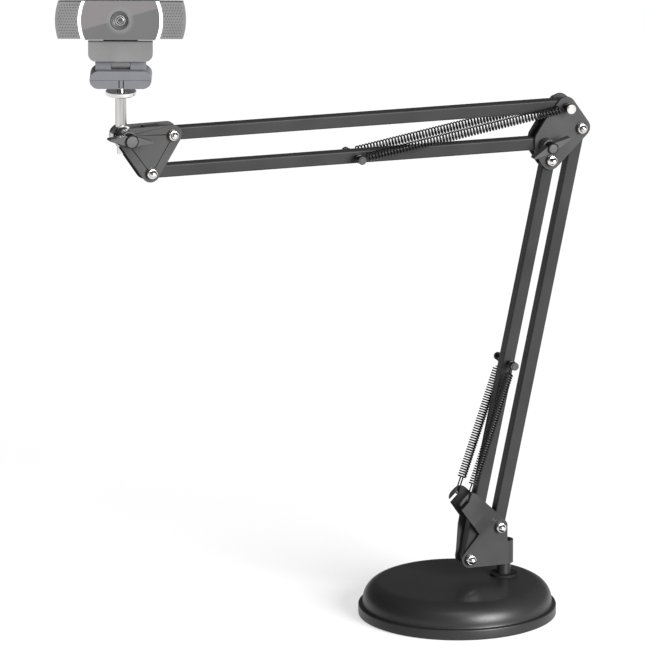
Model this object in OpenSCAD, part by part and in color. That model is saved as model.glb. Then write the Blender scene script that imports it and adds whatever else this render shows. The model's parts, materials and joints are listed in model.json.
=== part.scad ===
// Webcam on a spring-balanced two-part arm with a round weighted base.
// +Z is up and z = 0 is the underside of the base, with the origin at the base's centre.
// The arm lies in the XZ plane and reaches towards -X; every arm pivot turns about Y.

/* [Base] */
// Diameter of the base over its rim
base_d = 157; // [130:1:200]
// Height of the straight rim
rim_h = 9; // [6:0.5:11]
// Height of the dome at its centre
base_h = 28; // [26:0.5:34]
// Wall of the base cover
shell_wall = 1.6; // [1:0.2:2.4]
// Distance from the base's centre to the post
post_offset = 40; // [20:1:46]
// Thickness of the rubber pad under the base
pad_h = 2; // [1:0.5:3]

/* [Arm] */
// Length of the lower arm between pivots
lower_len = 327; // [220:1:420]
// Lean of the lower arm from vertical, towards +X
lower_tilt = 12; // [-20:0.5:16]
// Length of the upper arm between pivots
upper_len = 332.5; // [220:0.5:420]
// Rise of the upper arm towards the head, above level
upper_rise = 1.4; // [-10:0.1:20]
// Width of the square bars
bar_w = 10; // [8:0.5:12]
// Wall of the square bars
bar_wall = 1; // [0.8:0.1:1.6]
// Thickness of the bracket plates
plate_t = 2; // [1.5:0.25:3]
// Radius of the pivot bolts
bolt_r = 2.5; // [2:0.25:3]

/* [Springs] */
// Outer diameter of the four springs
spring_d = 7.6; // [6:0.2:9]
// Diameter of the spring wire
wire_d = 1.2; // [0.8:0.1:1.6]
// Distance along the lower arm from its first pivot to its spring post
lower_spring_at = 161; // [130:1:200]
// Distance along the upper arm from its first pivot to its spring post
upper_spring_at = 159.5; // [120:0.5:200]

/* [Head] */
// Diameter of the chrome post that carries the webcam
rod_d = 8.9; // [7:0.1:9]
// Height of the chrome post above its tilt pivot
rod_len = 32; // [26:0.5:60]
// Diameter of the locking disc
disc_d = 24; // [16:0.5:30]
// Radius of the quarter-inch camera thread
stud_r = 3.1; // [2.4:0.05:3.2]

/* [Webcam clip] */
// Width of the clip's foot
foot_w = 48; // [40:1:60]
// Depth of the clip's foot
foot_depth = 24; // [18:1:30]
// Height of the clip's foot
foot_h = 14; // [13:0.5:20]
// Width of the clip's front plate
clip_w = 50; // [42:1:60]
// Height of the clip's front plate
clip_h = 16; // [12:0.2:20]

/* [Webcam] */
// Width of the webcam over its rounded ends
cam_w = 101; // [88:1:124]
// Height of the webcam's middle section
cam_h = 30; // [28:0.5:38]
// Depth of the webcam
cam_d = 26; // [24:1:34]
// Wall of the webcam's housing
cam_wall = 1.8; // [1.2:0.1:2.4]
// Radius of the ring round the lens
lens_r = 7.4; // [6:0.1:9]
// Lean of the webcam's face above level
cam_tilt = 10; // [0:1:12]

/* [Hidden] */
$fn = 64;

// Fits
run_fit = 0.05;        // radial play of a pin that turns in a bush
loose_fit = 0.2;       // radial play at the far end of each second bar
joint_gap = 0.3;       // gap between faces of pieces that move apart
side_gap = 0.5;        // gap between a bar and a bracket plate

// Widths across the arm
inner = bar_w / 2 + side_gap;
outer = inner + plate_t;
spring_r = spring_d / 2;
wire_r = wire_d / 2;
spring_y = outer + spring_r + 0.2;
pin_end = spring_y + spring_r + 2.4;
bush_r = bolt_r + 1.2;
post_r = inner;

// Pivots as [x, z]: first bar, then second bar of each arm
link_low = [25.5, 24];
link_up = [18, 28.9];
c1 = [8, 45.5];
c2 = c1 + link_low;
t1 = c1 + lower_len * [sin(lower_tilt), cos(lower_tilt)];
t2 = t1 + link_low;
e2 = t1 + [-5.2, 13.5];
e1 = e2 + link_up;
upper_way = [-cos(upper_rise), sin(upper_rise)];
b1 = e2 + upper_len * upper_way;
b2 = b1 + link_up;
tilt = b1 + [-22, 30.7];

// Spring ends
low_post = c1 + lower_spring_at * [sin(lower_tilt), cos(lower_tilt)];
up_post = e2 + upper_spring_at * upper_way;
link_angle = atan2(link_low[1], link_low[0]);
hook_local = [31.4, 39.1];
hook = c1 + turned(hook_local, link_angle);
post_pin_r = 2;
ear_r = 6.8;
elbow_r = 7.8;

// Base
base_r = base_d / 2;
wall_r = base_r - 3.5;
shoulder_z = rim_h + 2.8;
shoulder_r = base_h - 0.6 - shoulder_z;
plate_z = pad_h + 1.4;
socket_r = post_r + 3.5;
socket_top = base_h - 6;
collar_r = socket_r + 2;
collar_h = 7.5;
wrap_z = [38.5, 57];
weight_step_z = shoulder_z - 0.2;
screw_ring = 34;

// Knobs and screws
nut_r = 4.4;
washer_r = 5;
knob_base = outer + 1;
wing_y = [spring_y + spring_r + 0.6, spring_y + spring_r + 7.6];
knob_front = wing_y[1] + 1.6;

// Stack above the tilt pivot, as heights above that pivot
disc_z = rod_len + 0.2;
disc_h = 3.8;
foot_z = disc_z + disc_h + 3.5;
foot_mid = foot_z + foot_h * 0.49;
foot_top = foot_z + foot_h;
barrel_r = 3.9;
barrel_z = foot_top + 4;
clip_z = barrel_z + barrel_r - 0.6;
clip_top = clip_z + clip_h;
clip_y = [-9, -5];
knuckle_w = 7.2;
hinge_w = 19.7;
pin_r = 1.5;
cam_hinge_z = clip_top - 2;
cam_hinge_y = 1;
cam_hinge_r = 3.5;
cam_hinge_w = 9.8;
lug_w = 3.3;

// Webcam, in a frame at its tilt hinge: -Y is forward
cam_z0 = 1.8;
cam_mid = cam_z0 + cam_h / 2;
cam_front = -cam_d / 2 - 2;
trim_t = 1.6;
shell_front = cam_front + trim_t;
shell_split = cam_front + 11;
cam_back = cam_front + cam_d;
end_h = cam_h - 1.5;
end_bulge = 2.2;
end_arc = (pow(end_h / 2, 2) + pow(end_bulge, 2)) / (2 * end_bulge);
strip_t = 2.3;
strip_bulge = 3.1;
strip_arc = (pow(cam_h / 2, 2) + pow(strip_bulge, 2)) / (2 * strip_bulge);
strip_x = cam_w * 0.314;
board_y = shell_split - 2;
sensor_y = board_y - 1;

// The webcam is turned on its post by the angle of a 5-12-13 triangle
cam_yaw = -asin(5 / 13);

// ---------- helpers ----------

// A flat point turned about the origin
function turned(p, a) = [p[0] * cos(a) - p[1] * sin(a), p[0] * sin(a) + p[1] * cos(a)];

module at(p, y = 0) {
  translate([p[0], y, p[1]]) children();
}

// Cylinder along Y between two Y values
module rod_y(y0, y1, r) {
  translate([0, y0, 0]) rotate([-90, 0, 0]) cylinder(h = y1 - y0, r = r);
}

// Cylinder along X between two X values
module rod_x(x0, x1, r) {
  translate([x0, 0, 0]) rotate([0, 90, 0]) cylinder(h = x1 - x0, r = r);
}

// Flat outline drawn as [x, z], made into a plate between two Y values
module plate_y(y0, y1) {
  translate([0, y1, 0]) rotate([90, 0, 0]) linear_extrude(height = y1 - y0) children();
}

module ear(p, r) {
  translate(p) circle(r = r, $fn = 32);
}

module at_cam() {
  translate([tilt[0], 0, tilt[1]]) rotate([0, 0, cam_yaw]) children();
}

module at_cam_hinge() {
  at_cam() translate([0, cam_hinge_y, cam_hinge_z]) rotate([-cam_tilt, 0, 0]) children();
}

// ---------- base ----------

// Cover as a turned solid: rim, wall, rounded shoulder and almost flat crown
module dome(inset) {
  fillet = shoulder_r - inset;
  centre = wall_r - shoulder_r;
  rotate_extrude($fn = 180) polygon(concat(
    [[0, -1], [base_r - inset, -1], [base_r - inset, rim_h - inset], [wall_r - inset, rim_h - inset]],
    [for (a = [0 : 8 : 80]) [centre + fillet * cos(a), shoulder_z + fillet * sin(a)]],
    [[0, base_h - inset]]
  ));
}

module base_shell() {
  color([0.09, 0.09, 0.1]) difference() {
    dome(0);
    dome(shell_wall);
    translate([0, 0, -2]) cylinder(h = 2 + pad_h / 2, r = base_r + 1);
    translate([post_offset, 0, 0]) cylinder(h = base_h + 1, r = collar_r + 0.2);
  }
}

module base_weight() {
  color([0.3, 0.3, 0.32]) difference() {
    union() {
      translate([0, 0, plate_z]) cylinder(h = weight_step_z - plate_z, r = base_r - 8.5);
      translate([0, 0, weight_step_z]) cylinder(h = 9, r = base_r - 22);
    }
    translate([post_offset, 0, 0]) cylinder(h = base_h, r = socket_r);
    screw_spots() translate([0, 0, plate_z - 1]) cylinder(h = 7, r = 2);
  }
}

module screw_spots() {
  for (a = [90, 180, 270]) rotate([0, 0, a]) translate([screw_ring, 0, 0]) children();
}

module base_plate() {
  color([0.45, 0.45, 0.47]) difference() {
    translate([0, 0, pad_h]) cylinder(h = plate_z - pad_h, r = base_r - shell_wall - 0.2);
    screw_spots() translate([0, 0, pad_h - 1]) cylinder(h = 5, r = 4);
  }
}

module base_pad() {
  color([0.05, 0.05, 0.05]) difference() {
    cylinder(h = pad_h, r = base_r - shell_wall - 1);
    screw_spots() translate([0, 0, -1]) cylinder(h = pad_h + 2, r = 4);
  }
}

module base_screws() {
  color("silver") screw_spots() {
    translate([0, 0, pad_h]) cylinder(h = plate_z - pad_h, r = 4);
    translate([0, 0, plate_z]) cylinder(h = 6, r = 2);
  }
}

module post_socket() {
  color([0.3, 0.3, 0.32]) translate([post_offset, 0, 0]) difference() {
    translate([0, 0, plate_z]) cylinder(h = socket_top - plate_z, r = socket_r);
    translate([0, 0, plate_z + 2]) cylinder(h = base_h, r = post_r + run_fit);
  }
}

module post_collar() {
  color([0.05, 0.05, 0.05]) translate([post_offset, 0, socket_top]) difference() {
    cylinder(h = collar_h, r = collar_r);
    translate([0, 0, -1]) cylinder(h = collar_h + 2, r = post_r + 2 * run_fit);
  }
}

// ---------- mast ----------

module mast_post() {
  color([0.07, 0.07, 0.08]) translate([post_offset, 0, plate_z + 2.2])
    cylinder(h = wrap_z[1] - plate_z - 3.2, r = post_r);
}

// Outline of a bracket plate: the two pivots and the post, then the arm to the spring hook
module mast_outline(straight_back) {
  tip = [for (q = [[33, 36.5], [29.5, 36.5], [27, 20]]) c1 + turned(q, link_angle)];
  notch = straight_back ? [] : [c1 + turned([25.5, 3.5], link_angle)];
  low = wrap_z[0] + ear_r - 0.2;
  offset(r = ear_r, $fn = 48) polygon(concat(
    [c1, [post_offset + 2, low], [post_offset + 2, wrap_z[1] - ear_r + 0.2], c2], tip, notch
  ));
}

// Side profile of a bracket plate along its own slope: it steps outwards below the hook
module mast_profile() {
  hook_y = spring_y - plate_t / 2;
  translate([c1[0], 0, c1[1]]) rotate([0, -link_angle, 0]) translate([-40, 0, 0])
    rotate([90, 0, 90]) linear_extrude(height = 120) polygon([
      [inner, -60], [outer, -60], [outer, 7.5], [hook_y + plate_t, 19.5],
      [hook_y + plate_t, 60], [hook_y, 60], [hook_y, 20.5], [inner, 8.5]
    ]);
}

module hook_slot() {
  translate(hook) circle(r = 1.6);
  translate(hook) rotate(link_angle + 180) translate([0, -1.5]) square([14, 3]);
}

module mast_plate(straight_back) {
  difference() {
    intersection() {
      plate_y(0, spring_y + 8) mast_outline(straight_back);
      mast_profile();
    }
    plate_y(0, spring_y + 9) hook_slot();
    translate([post_offset, 0, 0]) cube([60, 60, 100]);
    for (p = [c1, c2]) at(p) rod_y(0, outer + 1, bolt_r);
  }
}

module base_bracket() {
  wrap_h = wrap_z[1] - wrap_z[0];
  color([0.1, 0.1, 0.11]) {
    mast_plate(true);
    mirror([0, 1, 0]) mast_plate(false);
    translate([post_offset, 0, wrap_z[0]]) difference() {
      cylinder(h = wrap_h, r = outer);
      translate([0, 0, -1]) cylinder(h = wrap_h + 2, r = inner);
      translate([-2 * outer - 1, -2 * outer, -1]) cube([2 * outer, 4 * outer, wrap_h + 2]);
    }
  }
}

// ---------- fasteners ----------

// Bolt with its head behind the rear plate and its end inside a domed nut at the front
module pivot_bolt() {
  rod_y(-outer - 4, outer, bolt_r);
  rod_y(outer, outer + 1.4, bolt_r + 2.3);
  translate([0, outer + 1.4, 0]) difference() {
    sphere(r = bolt_r + 1.9);
    translate([-8, -16, -8]) cube(16);
  }
}

// Domed nut on a washer, on the front plate
module dome_nut() {
  difference() {
    union() {
      rod_y(-outer - 0.9, -outer, washer_r);
      translate([0, -outer - 0.9, 0]) rotate([90, 0, 0]) cylinder(h = 3.6, r = nut_r, $fn = 6);
      translate([0, -outer - 4.2, 0]) sphere(r = 3.6);
    }
    rod_y(-outer - 4, -outer + 1, bolt_r);
  }
}

// Screw with a round head behind the rear plate and a threaded end inside a knob
module knob_screw() {
  rod_y(-knob_front + 3, outer, bolt_r);
  rod_y(outer, outer + 2.2, bolt_r + 2.6);
}

// Wing knob with a hub
module wing_knob(hub_r, wing_len, angle) {
  difference() {
    union() {
      rod_y(-wing_y[0] - 1, -knob_base, hub_r + 1.2);
      rod_y(-knob_front, -wing_y[0], hub_r);
      rotate([0, -angle, 0]) plate_y(-wing_y[1], -wing_y[0]) offset(r = 1, $fn = 24)
        polygon([[1 - wing_len, 0], [0, 1.5 - hub_r], [wing_len - 1, 0], [0, hub_r - 1.5]]);
    }
    rod_y(-knob_front + 2.8, 0, bolt_r + run_fit);
  }
}

module base_bolts() {
  color([0.08, 0.08, 0.08]) for (p = [c1, c2]) at(p) pivot_bolt();
}

module base_nuts() {
  color("silver") for (p = [c1, c2]) at(p) dome_nut();
}

// ---------- bars ----------

module rounded_square(w, r) {
  square([w, w - 2 * r], center = true);
  square([w - 2 * r, w], center = true);
  for (x = [-1, 1], y = [-1, 1]) translate([x * (w / 2 - r), y * (w / 2 - r)]) circle(r = r);
}

// Square tube from a pivot at its origin to a pivot at len up its axis, with round ends
module bar(len, post_at = 0) {
  difference() {
    intersection() {
      translate([0, 0, -bar_w]) linear_extrude(height = len + 2 * bar_w) rounded_square(bar_w, 1.2);
      union() {
        rod_y(-bar_w, bar_w, bar_w / 2);
        translate([0, 0, len]) rod_y(-bar_w, bar_w, bar_w / 2);
        translate([-bar_w, -bar_w, 0]) cube([2 * bar_w, 2 * bar_w, len]);
      }
    }
    translate([0, 0, -bar_w]) linear_extrude(height = len + 2 * bar_w)
      square(bar_w - 2 * bar_wall, center = true);
    for (z = [0, len]) translate([0, 0, z]) rod_y(-bar_w, bar_w, bush_r);
    if (post_at > 0) translate([0, 0, post_at]) rod_y(-bar_w, bar_w, post_pin_r);
  }
}

// Two bushes through a bar's ends
module bushes(len, far_fit) {
  for (end = [[0, run_fit], [len, far_fit]]) translate([0, 0, end[0]]) difference() {
    rod_y(-inner + 0.1, inner - 0.1, bush_r);
    rod_y(-bar_w, bar_w, bolt_r + end[1]);
  }
}

module spring_pin() {
  rod_y(-pin_end, pin_end, post_pin_r);
}

// Push-on caps at both ends of a pin
module pin_caps(r) {
  for (s = [0, 180]) rotate([0, 0, s]) difference() {
    union() {
      rod_y(pin_end - 1.6, pin_end + 0.4, r + 1.2);
      translate([0, pin_end + 0.4, 0]) rod_y(0, 0.6, r + 0.4);
    }
    rod_y(0, pin_end, r);
  }
}

module on_lower(p) {
  at(p) rotate([0, lower_tilt, 0]) children();
}

module on_upper(p) {
  at(p) rotate([0, upper_rise - 90, 0]) children();
}

module lower_bar_left() {
  color([0.13, 0.13, 0.14]) on_lower(c1) bar(lower_len, lower_spring_at);
}

module lower_left_bushes() {
  color("silver") on_lower(c1) bushes(lower_len, run_fit);
}

module lower_spring_post() {
  color([0.5, 0.5, 0.5]) at(low_post) spring_pin();
}

module lower_post_caps() {
  color("silver") at(low_post) pin_caps(post_pin_r);
}

module lower_bar_right() {
  color([0.13, 0.13, 0.14]) on_lower(c2) bar(lower_len);
}

module lower_right_bushes() {
  color("silver") on_lower(c2) bushes(lower_len, loose_fit);
}

module upper_bar_bottom() {
  color([0.13, 0.13, 0.14]) on_upper(e2) bar(upper_len, upper_spring_at);
}

module upper_bottom_bushes() {
  color("silver") on_upper(e2) bushes(upper_len, run_fit);
}

module upper_spring_post() {
  color([0.5, 0.5, 0.5]) at(up_post) spring_pin();
}

module upper_post_caps() {
  color("silver") at(up_post) pin_caps(post_pin_r);
}

module upper_bar_top() {
  color([0.13, 0.13, 0.14]) on_upper(e1) bar(upper_len);
}

module upper_top_bushes() {
  color("silver") on_upper(e1) bushes(upper_len, loose_fit);
}

// ---------- springs ----------

// Close-wound coil body between two heights, ribbed once per turn
module coil(z0, z1, pitch) {
  turns = floor((z1 - z0) / pitch);
  step = (z1 - z0) / turns;
  rotate_extrude() polygon(concat(
    [[spring_r - wire_d, z0], [spring_r - wire_r, z0]],
    [for (i = [0 : turns - 1], h = [0.5, 1]) [h == 0.5 ? spring_r : spring_r - wire_r, z0 + (i + h) * step]],
    [[spring_r - wire_d, z1]]
  ));
  for (z = [z0, z1 - wire_d]) translate([0, 0, z]) cylinder(h = wire_d, r = spring_r - wire_r);
}

// Round eye about a pin along Y
module eye(r) {
  rotate([90, 0, 0]) rotate_extrude() translate([r, 0]) circle(r = wire_r, $fn = 24);
}

module straight_wire(z0, z1) {
  translate([0, 0, z0]) cylinder(h = z1 - z0, r = wire_r, $fn = 24);
}

// Long loop whose closed end lies across a hook at the origin
module hook_loop(top) {
  half = plate_t / 2 + wire_r + 0.6;
  for (s = [-1, 1]) translate([0, s * half, 0]) straight_wire(half, top);
  translate([0, 0, half]) rotate([0, 90, 0]) rotate_extrude(angle = 180, $fn = 48)
    rotate(0) translate([half, 0]) circle(r = wire_r, $fn = 24);
  translate([0, 0, top - wire_d]) cylinder(h = wire_d, r = half + wire_r);
}

// Runs its children along the line from p to q, at one side of the arm
module along(p, q, side) {
  d = q - p;
  at(p, side * spring_y) rotate([0, atan2(d[0], d[1]), 0]) children();
}

module lower_spring(side) {
  span = norm(low_post - hook);
  reach = post_pin_r + joint_gap + wire_r;
  coil_z = [18, span - 7];
  along(hook, low_post, side) {
    rotate([0, 0, 90]) rotate([0, 0, -90]) hook_loop(coil_z[0] + wire_d);
    coil(coil_z[0], coil_z[1], 2.4);
    straight_wire(coil_z[1] - wire_d, span - reach);
    translate([0, 0, span]) eye(reach);
  }
}

module upper_spring(side) {
  span = norm(up_post - e1);
  near = bolt_r + joint_gap + wire_r;
  far = post_pin_r + joint_gap + wire_r;
  coil_z = [14, span - 8];
  along(e1, up_post, side) {
    eye(near);
    straight_wire(near, coil_z[0] + wire_d);
    coil(coil_z[0], coil_z[1], 2.4);
    straight_wire(coil_z[1] - wire_d, span - far);
    translate([0, 0, span]) eye(far);
  }
}

module lower_spring_front() {
  color([0.2, 0.2, 0.2]) lower_spring(-1);
}

module lower_spring_rear() {
  color([0.2, 0.2, 0.2]) lower_spring(1);
}

module upper_spring_front() {
  color([0.2, 0.2, 0.2]) upper_spring(-1);
}

module upper_spring_rear() {
  color([0.2, 0.2, 0.2]) upper_spring(1);
}

// ---------- elbow ----------

module elbow_outline() {
  offset(r = elbow_r, $fn = 48) polygon([e1, t2, t1, e2 + [-0.8, -4], e2 + [-0.8, 4], e2 + [6.5, 15]]);
}

module elbow_bracket() {
  away = (t2 - e1) / norm(t2 - e1);
  color([0.1, 0.1, 0.11]) {
    for (y = [-outer, inner]) difference() {
      plate_y(y, y + plate_t) elbow_outline();
      for (p = [t1, t2, e1, e2]) at(p) rod_y(-outer - 1, outer + 1, bolt_r);
    }
    at((e1 + t2) / 2) rotate([0, -atan2(away[1], away[0]), 0])
      translate([-6, -inner - 1, elbow_r - plate_t - 0.1]) cube([12, 2 * inner + 2, plate_t]);
  }
}

module elbow_bolts() {
  color([0.08, 0.08, 0.08]) for (p = [t1, t2]) at(p) pivot_bolt();
}

module elbow_nuts() {
  color("silver") for (p = [t1, t2]) at(p) dome_nut();
}

module elbow_pin() {
  color([0.6, 0.6, 0.6]) at(e1) rod_y(-pin_end, pin_end, bolt_r);
}

module elbow_pin_caps() {
  color("silver") at(e1) pin_caps(bolt_r);
}

module elbow_screw() {
  color("silver") at(e2) knob_screw();
}

module elbow_knob() {
  color([0.12, 0.12, 0.13]) at(e2) wing_knob(4.4, 17.5, 24);
}

// ---------- head ----------

module head_outline() {
  hull() {
    ear(tilt, 6.5);
    ear(b1, 7.6);
    ear(b2, 7.8);
  }
}

module head_bracket() {
  color([0.1, 0.1, 0.11]) {
    for (y = [-outer, inner]) difference() {
      plate_y(y, y + plate_t) head_outline();
      for (p = [tilt, b1, b2]) at(p) rod_y(-outer - 1, outer + 1, bolt_r);
    }
    intersection() {
      translate([b2[0] - 21, -inner, b2[1] + 7.6 - plate_t - 0.6]) cube([13, 2 * inner, plate_t]);
      plate_y(-inner, inner) head_outline();
    }
  }
}

module head_bolts() {
  color([0.08, 0.08, 0.08]) for (p = [b1, b2]) at(p) pivot_bolt();
}

module head_nuts() {
  color("silver") for (p = [b1, b2]) at(p) dome_nut();
}

module head_screw() {
  color("silver") at(tilt) knob_screw();
}

module head_knob() {
  color([0.12, 0.12, 0.13]) at(tilt) wing_knob(5.4, 18.5, -8);
}

// Chrome post: an eye on the tilt screw, a short tongue below it and a thread on top
module head_post() {
  eye_t = inner - 0.9;
  color([0.85, 0.85, 0.87]) at(tilt) difference() {
    union() {
      rod_y(-eye_t, eye_t, 8.5);
      cylinder(h = rod_len, r = rod_d / 2);
      translate([-3, -1.6, -15]) cube([6, 3.2, 12]);
      translate([0, 0, rod_len]) cylinder(h = foot_z - rod_len + 6, r = stud_r);
    }
    rod_y(-inner, inner, bolt_r + run_fit);
    translate([-12, -12, -22]) difference() {
      cube([24, 24, 7.5]);
      translate([12, 0, 22]) rod_y(0, 24, 15);
    }
  }
}

module tilt_washers() {
  eye_t = inner - 0.9;
  color([0.05, 0.05, 0.05]) at(tilt) for (s = [0, 180]) rotate([0, 0, s]) difference() {
    rod_y(eye_t, inner - joint_gap, 7.5);
    rod_y(0, inner, bolt_r + run_fit);
  }
}

module lock_disc() {
  chamfer = 0.6;
  color([0.85, 0.85, 0.87]) translate([tilt[0], 0, tilt[1] + disc_z]) difference() {
    union() {
      cylinder(h = chamfer, r1 = disc_d / 2 - chamfer, r2 = disc_d / 2);
      translate([0, 0, chamfer]) cylinder(h = disc_h - 2 * chamfer, r = disc_d / 2);
      translate([0, 0, disc_h - chamfer]) cylinder(h = chamfer, r1 = disc_d / 2, r2 = disc_d / 2 - chamfer);
    }
    translate([0, 0, -1]) cylinder(h = disc_h + 2, r = stud_r + run_fit);
  }
}

// ---------- webcam clip ----------

// Front view of the foot: a bar with round ends
module foot_outline() {
  half = foot_h / 2;
  square([foot_w - foot_h, foot_h], center = true);
  for (s = [-1, 1]) translate([s * (foot_w / 2 - half), 0]) circle(r = half);
}

module foot_solid() {
  translate([0, 0, foot_z + foot_h / 2]) plate_y(-foot_depth / 2 + 1, foot_depth / 2 + 1) foot_outline();
}

module foot_lower() {
  color([0.5, 0.51, 0.54]) at_cam() difference() {
    foot_solid();
    translate([-foot_w, -foot_w, foot_mid - 0.1]) cube(2 * foot_w);
    cylinder(h = foot_top, r = stud_r + 1.6);
    for (x = [-1.2, 2.2]) translate([x - 0.5, -foot_depth, foot_z + 0.8])
      cube([1, foot_depth / 2 + 2.2, foot_mid - foot_z]);
  }
}

module foot_upper() {
  color([0.56, 0.57, 0.59]) at_cam() difference() {
    union() {
      intersection() {
        foot_solid();
        translate([-foot_w, -foot_w, foot_mid + 0.1]) cube(2 * foot_w);
      }
      for (s = [-1, 1]) {
        side = s < 0 ? -hinge_w : knuckle_w + joint_gap;
        wide = hinge_w - knuckle_w - joint_gap;
        translate([side, 0, barrel_z]) rod_x(0, wide, barrel_r);
        translate([side, -barrel_r, foot_mid + 3]) cube([wide, 2 * barrel_r, barrel_z - foot_mid - 3]);
      }
    }
    cylinder(h = foot_z + 7.4, r = stud_r + 1.6);
    translate([0, 0, barrel_z]) {
      rod_x(-knuckle_w - joint_gap, knuckle_w + joint_gap, barrel_r + 0.6);
      rod_x(-foot_w, foot_w, pin_r);
    }
  }
}

module thread_insert() {
  color([0.75, 0.6, 0.3]) at_cam() difference() {
    translate([0, 0, foot_z]) cylinder(h = 7.4, r = stud_r + 1.6);
    translate([0, 0, foot_z - 1]) cylinder(h = 7.8, r = stud_r + run_fit);
  }
}

module clip_hinge_pin() {
  color("silver") at_cam() translate([0, 0, barrel_z]) rod_x(-hinge_w, hinge_w, pin_r);
}

// Front view of the plate: square at the top, round at its lower corners
module clip_outline() {
  corner = 6;
  translate([-clip_w / 2, corner]) square([clip_w, clip_h - corner]);
  translate([-clip_w / 2 + corner, 0]) square([clip_w - 2 * corner, clip_h]);
  for (s = [-1, 1]) translate([s * (clip_w / 2 - corner), corner]) circle(r = corner);
}

module clip_plate() {
  color([0.56, 0.56, 0.56]) at_cam() difference() {
    union() {
      translate([0, 0, clip_z]) plate_y(clip_y[0], clip_y[1]) clip_outline();
      translate([0, 0, barrel_z]) rod_x(-knuckle_w, knuckle_w, barrel_r);
      translate([-knuckle_w, clip_y[0] + 1, clip_z]) cube([2 * knuckle_w, 10, 4]);
      translate([-knuckle_w, -2, barrel_z]) cube([2 * knuckle_w, 4, clip_z - barrel_z + 2]);
      translate([-cam_hinge_w, clip_y[1] - 1, clip_z + 3]) cube([2 * cam_hinge_w, 4, clip_h - 5]);
      translate([0, cam_hinge_y, cam_hinge_z]) rod_x(-cam_hinge_w, cam_hinge_w, cam_hinge_r);
      translate([-cam_hinge_w, clip_y[1], cam_hinge_z - 3])
        cube([2 * cam_hinge_w, cam_hinge_y - clip_y[1], 3]);
    }
    translate([0, 0, barrel_z]) rod_x(-foot_w, foot_w, pin_r + run_fit);
    translate([0, cam_hinge_y, cam_hinge_z]) rod_x(-foot_w, foot_w, pin_r + run_fit);
  }
}

// Rubber strips on the back of the plate, either side of the hinge block
module clip_pad() {
  strip = clip_w / 2 - cam_hinge_w - lug_w - 4;
  color([0.15, 0.15, 0.15]) at_cam() for (s = [0, 1]) mirror([s, 0, 0])
    translate([cam_hinge_w + lug_w + 2, clip_y[1], clip_z + 5]) cube([strip, 0.8, clip_h - 7]);
}

// ---------- webcam ----------

module camera_hinge_pin() {
  color("silver") at_cam_hinge() rod_x(-cam_hinge_w - joint_gap - lug_w, cam_hinge_w + joint_gap + lug_w, pin_r);
}

// Bar with a shallow bow at both ends
module bowed_bar(inset) {
  for (s = [0, 1]) mirror([s, 0, 0]) intersection() {
    translate([cam_w / 2 - end_arc - inset, 0]) circle(r = end_arc, $fn = 120);
    translate([-1, inset - end_h / 2]) square([cam_w, end_h - 2 * inset]);
  }
}

// Front view of the housing about its own middle: a taller centre between two bowed ends
module housing_outline(inset) {
  bowed_bar(inset);
  square([2 * (strip_x - strip_bulge) + strip_t, cam_h - 2 * inset], center = true);
}

// Area between the two accent arcs, grown or shrunk by a distance
module centre_outline(grow) {
  reach = strip_arc + grow;
  intersection() {
    square([cam_w, cam_h], center = true);
    translate([strip_arc - strip_x, 0]) circle(r = reach, $fn = 120);
    translate([strip_x - strip_arc, 0]) circle(r = reach, $fn = 120);
  }
}

module cam_layer(y0, y1) {
  translate([0, 0, cam_mid]) plate_y(y0, y1) children();
}

// Plan view of the housing: round at its back corners
module plan_outline(inset) {
  corner = 9;
  half = cam_w / 2 - inset;
  back = cam_back - inset;
  translate([-half, cam_front]) square([2 * half, cam_d - inset - corner]);
  translate([-half + corner, cam_front]) square([2 * half - 2 * corner, cam_d - inset]);
  for (s = [-1, 1]) translate([s * (half - corner), back - corner]) circle(r = corner);
}

module housing(inset) {
  intersection() {
    cam_layer(shell_front + inset, cam_back + 1) housing_outline(inset);
    translate([0, 0, -5]) linear_extrude(height = cam_h + 10) plan_outline(inset);
  }
}

module lens_hole(r) {
  translate([0, 0, cam_mid]) rod_y(cam_front - 5, board_y, r);
}

module camera_front_shell() {
  color([0.5, 0.5, 0.5]) at_cam_hinge() difference() {
    housing(0);
    housing(cam_wall);
    translate([-cam_w, shell_split, -cam_w / 2]) cube(2 * cam_w);
    lens_hole(lens_r);
    rod_x(-cam_hinge_w - lug_w - 2 * joint_gap, cam_hinge_w + lug_w + 2 * joint_gap, cam_hinge_r + 0.6);
  }
}

module camera_rear_shell() {
  color([0.45, 0.45, 0.45]) at_cam_hinge() difference() {
    union() {
      difference() {
        housing(0);
        housing(cam_wall);
        translate([-cam_w, shell_split - 2 * cam_w, -cam_w / 2]) cube(2 * cam_w);
        rod_x(-cam_hinge_w - joint_gap, cam_hinge_w + joint_gap, cam_hinge_r + 0.6);
      }
      for (s = [0, 1]) mirror([s, 0, 0]) {
        translate([cam_hinge_w + joint_gap, 0, 0]) rod_x(0, lug_w, cam_hinge_r);
        translate([cam_hinge_w + joint_gap, 0, 0]) cube([lug_w, cam_hinge_r, cam_z0 + cam_wall]);
      }
    }
    rod_x(-cam_w, cam_w, pin_r);
    translate([0, 0, cam_z0 + 6]) rod_y(cam_back - 4, cam_back + 2, 3);
  }
}

module face_panel() {
  color([0.53, 0.53, 0.53]) at_cam_hinge() difference() {
    cam_layer(cam_front, shell_front) centre_outline(-strip_t / 2);
    lens_hole(lens_r);
  }
}

module accent_strips() {
  color("white") at_cam_hinge() cam_layer(cam_front, shell_front) difference() {
    centre_outline(strip_t / 2);
    centre_outline(-strip_t / 2);
  }
}

module mic_grilles() {
  color([0.5, 0.5, 0.5]) at_cam_hinge() cam_layer(cam_front + 0.4, shell_front) difference() {
    bowed_bar(0);
    centre_outline(strip_t / 2);
  }
}

module lens_ring() {
  color([0.35, 0.35, 0.35]) at_cam_hinge() translate([0, 0, cam_mid]) difference() {
    rod_y(cam_front - 1, shell_front + cam_wall, lens_r);
    rod_y(cam_front - 2, shell_front + cam_wall + 1, lens_r - 1.7);
  }
}

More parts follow.
